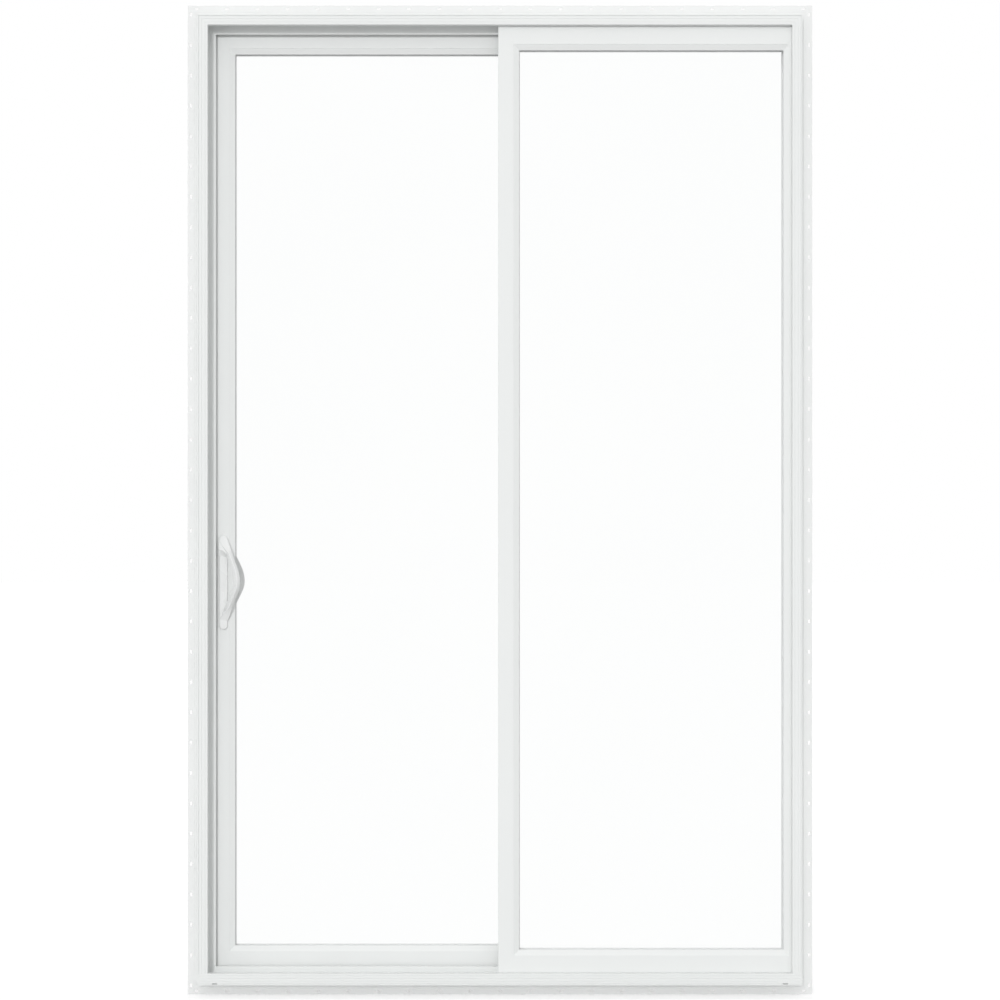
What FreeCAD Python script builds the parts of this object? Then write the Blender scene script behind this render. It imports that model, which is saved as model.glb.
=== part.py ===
import FreeCAD, Part
import math
import os
import re
import Sketcher

# A two-panel sliding patio door of white vinyl. The left panel, seen from outside, slides on the inner track.
# X runs to the right seen from outside, Y towards the room, Z up. The origin is the middle of the sill,
# on the underside of the frame, in the back face of the nail fin, which lies on the wall.

doc = FreeCAD.newDocument("patio_door")
sheet = doc.addObject("Spreadsheet::Sheet", "Sizes")

SIZES = {
    # the frame: across the wall, up the wall, and how far its front stands out of it
    "frameWidth": 1511.3,
    "frameHeight": 2425.7,
    "finSetback": 34.9,
    "channelFloor": 10.0,
    "noseReach": 25.4,
    "noseDepth": 14.0,
    "legReach": 40.0,
    "middleLegThick": 9.0,
    "innerLegThick": 8.9,
    "edgeBreak": 1.0,
    "scoreDepth": 0.8,
    "scoreWidth": 1.6,
    "noseGrooveLow": 2.4,
    "noseGrooveHigh": 4.4,
    "noseGrooveDepth": 1.6,
    "noseScoreOuter": 10.6,
    "noseScoreInner": 19.2,
    # the sill
    "sillNose": 29.5,
    "sillMiddleLeg": 37.8,
    "sillInnerLeg": 45.0,
    "sillSlideFloor": 8.0,
    "dripLow": 2.6,
    "dripHigh": 5.2,
    "dripDepth": 1.6,
    "ribLow": 10.0,
    "ribPitch": 7.0,
    "weepLength": 12.5,
    "weepDepth": 10.0,
    "weepInset": 42.5,
    # the nail fin and its slots
    "finWidth": 28.6,
    "finThick": 1.8,
    "finScore": 0.5,
    "finScoreWidth": 1.2,
    "finScoreOuter": 11.4,
    "finScoreInner": 6.2,
    "slotPitch": 76.2,
    "slotLength": 9.5,
    "slotWidth": 4.6,
    "slotInset": 8.0,
    # both panels: section of a stile or rail
    "panelThick": 34.0,
    "panelEdge": 1.5,
    "glazingLegFront": 28.0,
    "glazingLegReach": 15.0,
    "beadWidth": 14.0,
    "beadLip": 1.0,
    "beadNose": 2.5,
    # the sealed glass
    "glassGap": 3.0,
    "glassFront": 9.0,
    "glassThick": 3.2,
    "spacerInset": 1.0,
    "spacerWidth": 7.0,
    # the fixed panel, on the outer track
    "fixedNoseGap": 2.0,
    "fixedTopGap": 2.0,
    "fixedSideGap": 2.0,
    "fixedRailTop": 59.0,
    "fixedRailBottom": 61.0,
    "fixedJambStile": 18.5,
    "interlockFace": 38.1,
    "fixedInterlockX": -4.5,
    # the sliding panel, on the inner track
    "slideLegGap": 5.0,
    "slideMargin": 20.0,
    "slideFace": 52.0,
    "slideInterlockX": 12.0,
    # the hooks of the two interlock stiles
    "hookThick": 1.5,
    "hookLegThick": 3.0,
    "hookGap": 5.0,
    "hookEndGap": 5.5,
    "fixedHookInset": 22.5,
    "fixedHookReach": 22.0,
    "slideHookReach": 15.1,
    # the rail that the rollers run on
    "railFoot": 18.0,
    "railFootThick": 2.0,
    "railWeb": 3.0,
    "railHead": 5.0,
    "railHeadHigh": 5.0,
    "railHeadEdge": 1.0,
    "railTop": 26.0,
    # rollers under the sliding panel
    "grooveSideGap": 5.5,
    "notchTopGap": 6.0,
    "treadRadius": 14.0,
    "flangeReach": 2.0,
    "flangeThick": 1.2,
    "flangeTopGap": 2.1,
    "treadSideGap": 0.5,
    "wheelBore": 3.1,
    "runClearance": 0.3,
    "axleRadius": 3.0,
    "carriageLong": 60.0,
    "carriagePlate": 1.6,
    "carriageFit": 0.3,
    "carriageRise": 10.5,
    "rollerInset": 110.0,
    # the stop that ends the panel's travel, measured in from the right side of the frame
    "stopInset": 65.55,
    "stopLong": 25.0,
    "stopDrop": 20.0,
    # lock and handles
    "handleHeight": 1005.0,
    "handleBaseWide": 21.0,
    "handleBaseTall": 238.0,
    "handleBaseThick": 7.0,
    "handleBaseEdge": 2.0,
    "handleJambGap": 7.0,
    "bowRise": 111.0,
    "bowFall": 97.0,
    "outsideBowOut": 55.0,
    "insideBowOut": 52.2,
    "bowAngle": 42.0,
    "bowRadius": 70.0,
    "bowWide": 12.5,
    "bowThick": 17.0,
    "bowRoot": 3.0,
    "plateWide": 20.0,
    "plateTall": 190.0,
    "plateThick": 2.0,
    "plateSlotTall": 40.0,
    "plateSlotWide": 8.0,
    "keeperTall": 90.0,
    "keeperWide": 22.0,
    "keeperThick": 2.5,
    "latchRadius": 8.0,
    "latchHigh": 6.0,
    "latchLever": 26.0,
    "latchLeverWide": 7.0,
    "latchLeverTip": 4.9,
    "latchDrop": 66.0,
    # how far a cut runs past what it cuts
    "cutOver": 5.0,
}

for row, (name, value) in enumerate(SIZES.items(), start=1):
    sheet.set(f"A{row}", name)
    sheet.set(f"B{row}", str(value))
    sheet.setAlias(f"B{row}", name)
doc.recompute()


def sized(text):
    """The text as an expression that points at the sheet's cells."""
    return re.sub(r"[A-Za-z]\w*", lambda m: "Sizes." + m[0] if m[0] in SIZES else m[0], str(text))


def number(text):
    value = sheet.evalExpression(sized(text))
    return float(getattr(value, "Value", value))


def bind(thing, prop, text):
    thing.setExpression(prop, sized(text))


def new_body(label, place=("0", "0", "0")):
    body = doc.addObject("PartDesign::Body", label)
    body.Label = label
    for axis, text in zip("xyz", place):
        bind(body, f"Placement.Base.{axis}", text)
    return body


def new_sketch(body, plane, lift="0"):
    """A sketch on one of the body's own planes, moved along the plane's normal by lift."""
    sketch = body.newObject("Sketcher::SketchObject", body.Name + "_sketch")
    support = next(f for f in body.Origin.OriginFeatures if f.Role == plane + "_Plane")
    sketch.AttachmentSupport = [(support, "")]
    sketch.MapMode = "FlatFace"
    if lift != "0":
        bind(sketch, "AttachmentOffset.Base.z", lift)
    return sketch


def pin_point(sketch, geometry, point, at):
    """Hold a point of the sketch at two distances from its origin, both bound to the sheet."""
    for kind, text in zip(("DistanceX", "DistanceY"), at):
        index = sketch.addConstraint(Sketcher.Constraint(kind, -1, 1, geometry, point, number(text)))
        sketch.setExpression(f"Constraints[{index}]", sized(text))


def outline(sketch, corners):
    """A closed outline of straight lines through the corners."""
    points = [FreeCAD.Vector(number(x), number(y), 0) for x, y in corners]
    first = sketch.GeometryCount
    ends = points[1:] + points[:1]
    sketch.addGeometry([Part.LineSegment(a, b) for a, b in zip(points, ends)], False)
    count = len(points)
    joins = [
        Sketcher.Constraint("Coincident", first + i, 2, first + (i + 1) % count, 1) for i in range(count)
    ]
    sketch.addConstraint(joins)
    for i, corner in enumerate(corners):
        pin_point(sketch, first + i, 1, corner)


def rectangle(half_wide, half_tall):
    """Four corners round the sketch's origin."""
    return [
        (f"-{half_wide}", f"-{half_tall}"),
        (half_wide, f"-{half_tall}"),
        (half_wide, half_tall),
        (f"-{half_wide}", half_tall),
    ]


def pad(body, sketch, length, symmetric=False, reverse=False):
    feature = body.newObject("PartDesign::Pad", body.Name + "_pad")
    feature.Profile = sketch
    bind(feature, "Length", length)
    feature.SideType = "Symmetric" if symmetric else "One side"
    feature.Reversed = reverse
    return feature


def cut_through(body, sketch):
    feature = body.newObject("PartDesign::Pocket", body.Name + "_cut")
    feature.Profile = sketch
    feature.Type = "ThroughAll"
    feature.Midplane = True
    return feature


def cut_depth(body, sketch, depth, reverse=False):
    feature = body.newObject("PartDesign::Pocket", body.Name + "_pocket")
    feature.Profile = sketch
    bind(feature, "Length", depth)
    feature.Reversed = reverse
    return feature


def mitre(body, side, width, height, reach, ends):
    """Cut the ends of a bar at 45 degrees, in the plane of the door."""
    over = "cutOver"
    far = f"({reach})"
    shapes = {
        "left": {
            "low": [(f"-{over}", f"-{over}"), (far, f"-{over}"), (far, far)],
            "high": [
                (f"-{over}", f"{height} + {over}"),
                (far, f"{height} + {over}"),
                (far, f"{height} - {far}"),
            ],
        },
        "right": {
            "low": [(over, f"-{over}"), (f"-{far}", f"-{over}"), (f"-{far}", far)],
            "high": [
                (over, f"{height} + {over}"),
                (f"-{far}", f"{height} + {over}"),
                (f"-{far}", f"{height} - {far}"),
            ],
        },
        "bottom": {
            "low": [(f"-{over}", f"-{over}"), (f"-{over}", far), (far, far)],
            "high": [
                (f"{width} + {over}", f"-{over}"),
                (f"{width} + {over}", far),
                (f"{width} - {far}", far),
            ],
        },
        "top": {
            "low": [(f"-{over}", over), (f"-{over}", f"-{far}"), (far, f"-{far}")],
            "high": [
                (f"{width} + {over}", over),
                (f"{width} + {over}", f"-{far}"),
                (f"{width} - {far}", f"-{far}"),
            ],
        },
    }
    sketch = new_sketch(body, "XZ")
    for end in ends:
        outline(sketch, shapes[side][end])
    cut_through(body, sketch)


def bar(label, side, section, corner, width, height, reach="0", ends=()):
    """A straight bar on one side of a rectangle, its section given as distance in from that side and depth.

    The rectangle's lower left front corner is at corner. The ends named in ends are mitred.
    """
    x, y, z = corner
    if side == "right":
        x = f"{x} + {width}"
    if side == "top":
        z = f"{z} + {height}"
    body = new_body(label, (x, y, z))
    away = "-" if side in ("right", "top") else ""
    if side in ("left", "right"):
        sketch = new_sketch(body, "XY")
        outline(sketch, [(f"{away}({across})", deep) for across, deep in section])
        pad(body, sketch, height)
    else:
        sketch = new_sketch(body, "YZ")
        outline(sketch, [(deep, f"{away}({across})") for across, deep in section])
        pad(body, sketch, width)
    if ends:
        mitre(body, side, width, height, reach, ends)
    return body


def score(across, deep="0", depth="scoreDepth", wide="scoreWidth"):
    """Three corners of a shallow V groove in a front face."""
    return [
        (f"{across} - {wide} / 2", deep),
        (across, f"{deep} + {depth}"),
        (f"{across} + {wide} / 2", deep),
    ]


# The frame. Its outer rectangle starts at the lower left front corner.
FRAME_CORNER = ("-frameWidth / 2", "-finSetback", "0")

# Depths through the wall, from the front of the nose. The middle leg backs the fixed panel,
# and the two panels stand apart by two hook lips and the three gaps beside them.
FIXED_FRONT = "(noseDepth + fixedNoseGap)"
FIXED_BACK = f"({FIXED_FRONT} + panelThick)"
MIDDLE_LEG_BACK = f"({FIXED_BACK} + middleLegThick)"
SLIDE_FRONT = f"({FIXED_BACK} + 3 * hookGap + 2 * hookThick)"
INNER_LEG_FRONT = f"({SLIDE_FRONT} + panelThick + slideLegGap)"
FRAME_DEPTH = f"({INNER_LEG_FRONT} + innerLegThick)"


def square_groove(low, high, depth):
    """Four corners of a square groove in a front face."""
    return [
        (low, "0"),
        (low, depth),
        (high, depth),
        (high, "0"),
    ]


def head_and_jamb_section():
    """Nose, channel of the fixed panel, middle leg, channel of the sliding panel, inner leg."""
    return [
        ("0", "0"),
        *square_groove("noseGrooveLow", "noseGrooveHigh", "noseGrooveDepth"),
        *score("noseScoreOuter"),
        *score("noseScoreInner"),
        ("noseReach - edgeBreak", "0"),
        ("noseReach", "edgeBreak"),
        ("noseReach", "noseDepth"),
        ("channelFloor", "noseDepth"),
        ("channelFloor", FIXED_BACK),
        ("legReach - edgeBreak", FIXED_BACK),
        ("legReach", f"{FIXED_BACK} + edgeBreak"),
        ("legReach", MIDDLE_LEG_BACK),
        ("channelFloor", MIDDLE_LEG_BACK),
        ("channelFloor", INNER_LEG_FRONT),
        ("legReach", INNER_LEG_FRONT),
        ("legReach", f"{FRAME_DEPTH} - edgeBreak"),
        ("legReach - edgeBreak", FRAME_DEPTH),
        ("0", FRAME_DEPTH),
    ]


def sill_section(face=()):
    """As the head, but with a taller nose, whose front takes the corners given in face."""
    return [
        ("0", "0"),
        *face,
        ("sillNose - edgeBreak", "0"),
        ("sillNose", "edgeBreak"),
        ("sillNose", "noseDepth"),
        ("channelFloor", "noseDepth"),
        ("channelFloor", FIXED_BACK),
        ("sillMiddleLeg - edgeBreak", FIXED_BACK),
        ("sillMiddleLeg", f"{FIXED_BACK} + edgeBreak"),
        ("sillMiddleLeg", MIDDLE_LEG_BACK),
        ("sillSlideFloor", MIDDLE_LEG_BACK),
        ("sillSlideFloor", INNER_LEG_FRONT),
        ("sillInnerLeg", INNER_LEG_FRONT),
        ("sillInnerLeg", f"{FRAME_DEPTH} - edgeBreak"),
        ("sillInnerLeg - edgeBreak", FRAME_DEPTH),
        ("0", FRAME_DEPTH),
    ]


def make_frame():
    size = ("frameWidth", "frameHeight")
    reach = "legReach + cutOver"
    bar("head_frame", "top", head_and_jamb_section(), FRAME_CORNER, *size, reach, ("low", "high"))

    # the sill's nose has ribs, and below them a drip groove that the weep slots open into
    face = [
        *square_groove("dripLow", "dripHigh", "dripDepth"),
        *score("ribLow"),
        *score("(ribLow + ribPitch)"),
        *score("(ribLow + 2 * ribPitch)"),
    ]
    sill = bar("sill_frame", "bottom", sill_section(face), FRAME_CORNER, *size)
    weeps = new_sketch(sill, "XZ")
    for middle in ("weepInset", "frameWidth - weepInset"):
        low, high = f"{middle} - weepLength / 2", f"{middle} + weepLength / 2"
        outline(weeps, [(low, "dripLow"), (high, "dripLow"), (high, "dripHigh"), (low, "dripHigh")])
    cut_depth(sill, weeps, "weepDepth")

    # a jamb stands on the sill, so its foot is coped to the sill's section
    cope = bar("sill_cope", "bottom", sill_section(), FRAME_CORNER, *size)
    for side in ("left", "right"):
        section = head_and_jamb_section()
        whole = bar(f"whole_jamb_{side}", side, section, FRAME_CORNER, *size, reach, ("high",))
        coped = doc.addObject("Part::Cut", f"jamb_{side}")
        coped.Base = whole
        coped.Tool = cope
        coped.Label = f"jamb_{side}"


def fin_slots(body, along, first, count, across):
    """A row of nail slots, the first at one end and the rest as a pattern."""
    half = "(slotLength - slotWidth) / 2"
    sketch = new_sketch(body, "XZ")
    if along == "X":
        ends = [(f"{first} - {half}", across), (f"{first} + {half}", across)]
    else:
        ends = [(across, f"{first} - {half}"), (across, f"{first} + {half}")]
    centres = [FreeCAD.Vector(number(x), number(y), 0) for x, y in ends]
    radius = number("slotWidth / 2")
    turn = math.pi / 2 if along == "X" else math.pi
    for centre, start in zip(centres, (turn, turn + math.pi)):
        circle = Part.Circle(centre, FreeCAD.Vector(0, 0, 1), radius)
        sketch.addGeometry(Part.ArcOfCircle(circle, start, start + math.pi), False)
    for index in (0, 1):
        start, end = sketch.getPoint(index, 2), sketch.getPoint(1 - index, 1)
        sketch.addGeometry(Part.LineSegment(start, end), False)
    sketch.addConstraint([
        Sketcher.Constraint("Tangent", 0, 2, 2, 1),
        Sketcher.Constraint("Tangent", 2, 2, 1, 1),
        Sketcher.Constraint("Tangent", 1, 2, 3, 1),
        Sketcher.Constraint("Tangent", 3, 2, 0, 1),
    ])
    index = sketch.addConstraint(Sketcher.Constraint("Radius", 0, radius))
    sketch.setExpression(f"Constraints[{index}]", sized("slotWidth / 2"))
    for arc, end in enumerate(ends):
        pin_point(sketch, arc, 3, end)
    slot = cut_through(body, sketch)
    doc.recompute()
    pattern = body.newObject("PartDesign::LinearPattern", body.Name + "_slots")
    pattern.Originals = [slot]
    pattern.Direction = (sketch, ["H_Axis" if along == "X" else "V_Axis"])
    pattern.Mode = "Spacing"
    bind(pattern, "Offset", "slotPitch")
    bind(pattern, "Occurrences", count)
    body.Tip = pattern


def make_fin(side):
    """One side of the nail fin: a thin strip round the frame, mitred, scored on its front and slotted."""
    body = new_body(f"nail_fin_{side}", ("0", "0", "frameHeight / 2"))
    half_w, half_h = "frameWidth / 2", "frameHeight / 2"
    inner = {
        "top": [(f"-{half_w}", half_h), (half_w, half_h)],
        "bottom": [(f"-{half_w}", f"-{half_h}"), (half_w, f"-{half_h}")],
        "left": [(f"-{half_w}", f"-{half_h}"), (f"-{half_w}", half_h)],
        "right": [(half_w, f"-{half_h}"), (half_w, half_h)],
    }[side]

    def out(corner, step):
        """The corner moved outwards along its mitre by step."""
        return tuple(
            f"{text} - {step}" if text.startswith("-") else f"{text} + {step}" for text in corner
        )

    strip = new_sketch(body, "XZ")
    first, last = inner
    outline(strip, [first, last, out(last, "finWidth"), out(first, "finWidth")])
    pad(body, strip, "finThick")
    scores = new_sketch(body, "XZ", "finThick")
    for place in ("finScoreInner", "finScoreOuter"):
        near, far = f"({place} - finScoreWidth / 2)", f"({place} + finScoreWidth / 2)"
        outline(scores, [out(first, near), out(last, near), out(last, far), out(first, far)])
    cut_depth(body, scores, "finScore")
    across = "finWidth - slotInset"
    if side in ("top", "bottom"):
        steps = f"floor(({half_w} + {across}) / slotPitch)"
        row = f"{half_h} + {across}" if side == "top" else f"-{half_h} - ({across})"
        fin_slots(body, "X", f"-{steps} * slotPitch", f"2 * {steps} + 1", row)
    else:
        steps = f"floor(({half_h} + {across}) / slotPitch)"
        column = f"{half_w} + {across}" if side == "right" else f"-{half_w} - ({across})"
        fin_slots(body, "Z", f"-{steps} * slotPitch", f"2 * {steps} + 1", column)


# Both panels are built from the same section of stile and rail. The sliding panel's bottom rail
# has a groove, which clears the head of the track and holds the wheels.
ROLLER_GROOVE = "(railHead + 2 * grooveSideGap)"
AXLE_Z = "(railTop + runClearance + treadRadius)"
GROOVE_TOP = f"({AXLE_Z} + treadRadius + flangeReach + flangeTopGap + carriagePlate)"


def member_section(face, leg=True, groove=False):
    """A stile or rail: its face, and behind the glass the leg that the glass is bedded on."""
    corners = [("panelEdge", "0"), (face, "0"), (face, "glazingLegFront")]
    tip = f"{face} + glazingLegReach"
    if leg:
        corners += [
            (tip, "glazingLegFront"),
            (tip, "panelThick - 2 * panelEdge"),
            (f"{tip} - panelEdge", "panelThick"),
        ]
    else:
        corners += [(face, "panelThick")]
    corners += [("panelEdge", "panelThick"), ("0", "panelThick - panelEdge")]
    if groove:
        near = f"(panelThick - {ROLLER_GROOVE}) / 2"
        far = f"(panelThick + {ROLLER_GROOVE}) / 2"
        top = f"({GROOVE_TOP} - slideMargin)"
        corners += [("0", far), (top, far), (top, near), ("0", near)]
    corners += [("0", "panelEdge")]
    return corners


def leg_on_stile(body, side, face, height, low, high):
    """The glazing leg of a stile that the rails butt against, kept between the rails' own legs."""
    sign = "-" if side == "right" else ""
    tip = f"{face} + glazingLegReach"
    sketch = new_sketch(body, "XY", low)
    corners = [
        (face, "glazingLegFront"),
        (tip, "glazingLegFront"),
        (tip, "panelThick - 2 * panelEdge"),
        (f"{tip} - panelEdge", "panelThick"),
        (face, "panelThick"),
    ]
    outline(sketch, [(f"{sign}({across})", deep) for across, deep in corners])
    pad(body, sketch, f"{height} - ({low}) - ({high})")


def hook_on_stile(body, corners, low, length):
    """The hook of an interlock stile, shorter than the stile so that it passes the frame's middle leg."""
    sketch = new_sketch(body, "XY", low)
    outline(sketch, corners)
    pad(body, sketch, length)


# The fixed panel stands on the floor of the outer channel.
FIXED_RIGHT = "frameWidth / 2 - channelFloor - fixedSideGap"
FIXED_WIDE = f"({FIXED_RIGHT} - fixedInterlockX)"
FIXED_TALL = "(frameHeight - 2 * channelFloor - fixedTopGap)"
FIXED_Y = f"{FIXED_FRONT} - finSetback"
FIXED_CORNER = ("fixedInterlockX", FIXED_Y, "channelFloor")
HOOK_LOW = "(legReach + hookEndGap)"
HOOK_TALL = "(frameHeight - 2 * legReach - 2 * hookEndGap)"

# The sliding panel hangs clear of the channel floors by the same margin at its top, side and bottom.
SLIDE_LEFT = "slideMargin - frameWidth / 2"
SLIDE_Y = f"{SLIDE_FRONT} - finSetback"
SLIDE_TALL = "(frameHeight - 2 * slideMargin)"
SLIDE_RAIL_WIDE = f"(slideInterlockX - ({SLIDE_LEFT}))"
SLIDE_CORNER = (SLIDE_LEFT, SLIDE_Y, "slideMargin")
SLIDE_RIGHT = "(slideInterlockX + interlockFace)"
TRACK_Y = f"{SLIDE_FRONT} + panelThick / 2 - finSetback"
LOCK_Z = "(handleHeight - slideMargin)"
HANDLE_X = f"{SLIDE_LEFT} + (legReach - slideMargin + handleJambGap + handleBaseWide / 2)"


def make_fixed_panel():
    size = (FIXED_WIDE, FIXED_TALL)
    plain_stile = member_section("interlockFace", leg=False)
    interlock = bar("fixed_interlock_stile", "left", plain_stile, FIXED_CORNER, *size)
    rail_legs = ("fixedRailBottom + glazingLegReach", "fixedRailTop + glazingLegReach")
    leg_on_stile(interlock, "left", "interlockFace", FIXED_TALL, *rail_legs)
    # the hook stands on the stile's back, and its lip reaches to the right behind the other hook's lip
    lip_back = "(panelThick + 2 * hookGap + 2 * hookThick)"
    hook = [
        ("fixedHookInset", "panelThick"),
        ("fixedHookInset + hookLegThick", "panelThick"),
        ("fixedHookInset + hookLegThick", f"{lip_back} - hookThick"),
        ("fixedHookInset + fixedHookReach", f"{lip_back} - hookThick"),
        ("fixedHookInset + fixedHookReach", lip_back),
        ("fixedHookInset", lip_back),
    ]
    hook_on_stile(interlock, hook, f"{HOOK_LOW} - channelFloor", HOOK_TALL)

    jamb = bar("fixed_jamb_stile", "right", member_section("fixedJambStile", leg=False), FIXED_CORNER, *size)
    leg_on_stile(jamb, "right", "fixedJambStile", FIXED_TALL, *rail_legs)

    x = "fixedInterlockX + interlockFace"
    rail_corner = (x, FIXED_Y, "channelFloor")
    rail_wide = f"({FIXED_WIDE} - interlockFace - fixedJambStile)"
    bar("fixed_top_rail", "top", member_section("fixedRailTop"), rail_corner, rail_wide, FIXED_TALL)
    bar("fixed_bottom_rail", "bottom", member_section("fixedRailBottom"), rail_corner, rail_wide, FIXED_TALL)

    sight_tall = f"({FIXED_TALL} - fixedRailTop - fixedRailBottom)"
    sight_corner = (x, FIXED_Y, "channelFloor + fixedRailBottom")
    make_glazing("fixed", sight_corner, rail_wide, sight_tall)


def make_sliding_panel():
    size = (SLIDE_RAIL_WIDE, SLIDE_TALL)
    reach = "slideFace + glazingLegReach + cutOver"
    section = member_section("slideFace")
    stile = bar("slide_lock_stile", "left", section, SLIDE_CORNER, *size, reach, ("low", "high"))
    bar("slide_top_rail", "top", section, SLIDE_CORNER, *size, reach, ("low",))
    grooved = member_section("slideFace", groove=True)
    bar("slide_bottom_rail", "bottom", grooved, SLIDE_CORNER, *size, reach, ("low",))

    interlock_corner = ("slideInterlockX", SLIDE_Y, "slideMargin")
    plain_stile = member_section("interlockFace", leg=False)
    interlock = bar(
        "slide_interlock_stile", "right", plain_stile, interlock_corner, "interlockFace", SLIDE_TALL
    )
    rail_leg = "slideFace + glazingLegReach"
    leg_on_stile(interlock, "right", "interlockFace", SLIDE_TALL, rail_leg, rail_leg)
    # the hook stands on the stile's front and opens to the left, round the other hook's lip
    lip_front = "(-2 * hookGap - 2 * hookThick)"
    hook = [
        ("-panelEdge", "0"),
        ("-panelEdge - hookLegThick", "0"),
        ("-panelEdge - hookLegThick", f"{lip_front} + hookThick"),
        ("-panelEdge - slideHookReach", f"{lip_front} + hookThick"),
        ("-panelEdge - slideHookReach", lip_front),
        ("-panelEdge", lip_front),
    ]
    hook_on_stile(interlock, hook, f"{HOOK_LOW} - slideMargin", HOOK_TALL)

    # both stiles are notched at the foot, where the rail of the sill passes under them
    near, far = f"(panelThick - {ROLLER_GROOVE}) / 2", f"(panelThick + {ROLLER_GROOVE}) / 2"
    top = "railTop + notchTopGap - slideMargin"
    for body in (stile, interlock):
        notch = new_sketch(body, "YZ")
        outline(notch, [(near, "-cutOver"), (far, "-cutOver"), (far, top), (near, top)])
        cut_through(body, notch)

    # and the lock stile takes the lock's face plate in its edge
    recess = new_sketch(stile, "YZ")
    low, high = f"{LOCK_Z} - plateTall / 2", f"{LOCK_Z} + plateTall / 2"
    near, far = "(panelThick - plateWide) / 2", "(panelThick + plateWide) / 2"
    outline(recess, [(near, low), (far, low), (far, high), (near, high)])
    cut_depth(stile, recess, "plateThick", reverse=True)

    sight_corner = (f"{SLIDE_LEFT} + slideFace", SLIDE_Y, "slideMargin + slideFace")
    sight_wide = f"({SLIDE_RAIL_WIDE} - slideFace)"
    sight_tall = f"({SLIDE_TALL} - 2 * slideFace)"
    make_glazing("slide", sight_corner, sight_wide, sight_tall)


def make_glazing(panel, corner, wide, tall):
    """Four mitred beads in front of two panes with a spacer between them."""
    section = [
        ("0", "beadLip"),
        ("beadLip", "beadLip"),
        ("beadWidth - beadNose", "glassFront - beadNose - beadLip"),
        ("beadWidth", "glassFront - beadNose"),
        ("beadWidth", "glassFront"),
        ("0", "glassFront"),
    ]
    for side in ("top", "bottom", "left", "right"):
        name = f"{panel}_bead_{side}"
        bar(name, side, section, corner, wide, tall, "beadWidth + cutOver", ("low", "high"))

    x, y, z = corner
    pane_corner = (f"{x} + glassGap", y, f"{z} + glassGap")
    pane_size = (f"{wide} - 2 * glassGap", f"{tall} - 2 * glassGap")
    spacer_front = "glassFront + glassThick"
    spacer_back = "glazingLegFront - glassThick"
    make_pane(f"{panel}_outer_pane", pane_corner, pane_size, "glassFront", "glassThick")
    make_pane(f"{panel}_inner_pane", pane_corner, pane_size, spacer_back, "glassThick")
    make_pane(
        f"{panel}_glass_spacer",
        pane_corner,
        pane_size,
        spacer_front,
        f"{spacer_back} - ({spacer_front})",
        "spacerInset",
        "spacerInset + spacerWidth",
    )


def make_pane(label, corner, size, front, thick, rim="0", hollow=None):
    """A flat sheet. With rim and hollow it is a ring, set in from the edge of the glass."""
    x, y, z = corner
    wide, tall = size
    body = new_body(label, (x, f"{y} + {front}", z))
    sketch = new_sketch(body, "XZ")

    def set_in(inset):
        right, top = f"{wide} - ({inset})", f"{tall} - ({inset})"
        outline(sketch, [(inset, inset), (right, inset), (right, top), (inset, top)])

    set_in(rim)
    if hollow:
        set_in(hollow)
    pad(body, sketch, thick, reverse=True)


def make_track():
    """The aluminium rail in the sill, from jamb to jamb under the middle of the sliding panel."""
    low = "sillSlideFloor"
    body = new_body("sill_track_rail", ("channelFloor - frameWidth / 2", TRACK_Y, "0"))
    sketch = new_sketch(body, "YZ")
    half = [
        ("railFoot / 2", low),
        ("railFoot / 2", f"{low} + railFootThick"),
        ("railWeb / 2", f"{low} + railFootThick"),
        ("railWeb / 2", "railTop - railHeadHigh"),
        ("railHead / 2", "railTop - railHeadHigh + railHeadEdge"),
        ("railHead / 2", "railTop - railHeadEdge"),
        ("railHead / 2 - railHeadEdge", "railTop"),
    ]
    outline(sketch, half + [(f"-({y})", z) for y, z in reversed(half)])
    pad(body, sketch, "frameWidth - 2 * channelFloor")

    stop = new_body("travel_stop", ("frameWidth / 2 - stopInset", SLIDE_Y, "frameHeight - channelFloor"))
    sketch = new_sketch(stop, "XZ")
    outline(sketch, [
        ("0", "0"),
        ("stopLong", "0"),
        ("stopLong", "-stopDrop / 2"),
        ("stopLong - panelEdge", "-stopDrop"),
        ("0", "-stopDrop"),
    ])
    pad(stop, sketch, "panelThick", reverse=True)


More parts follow.
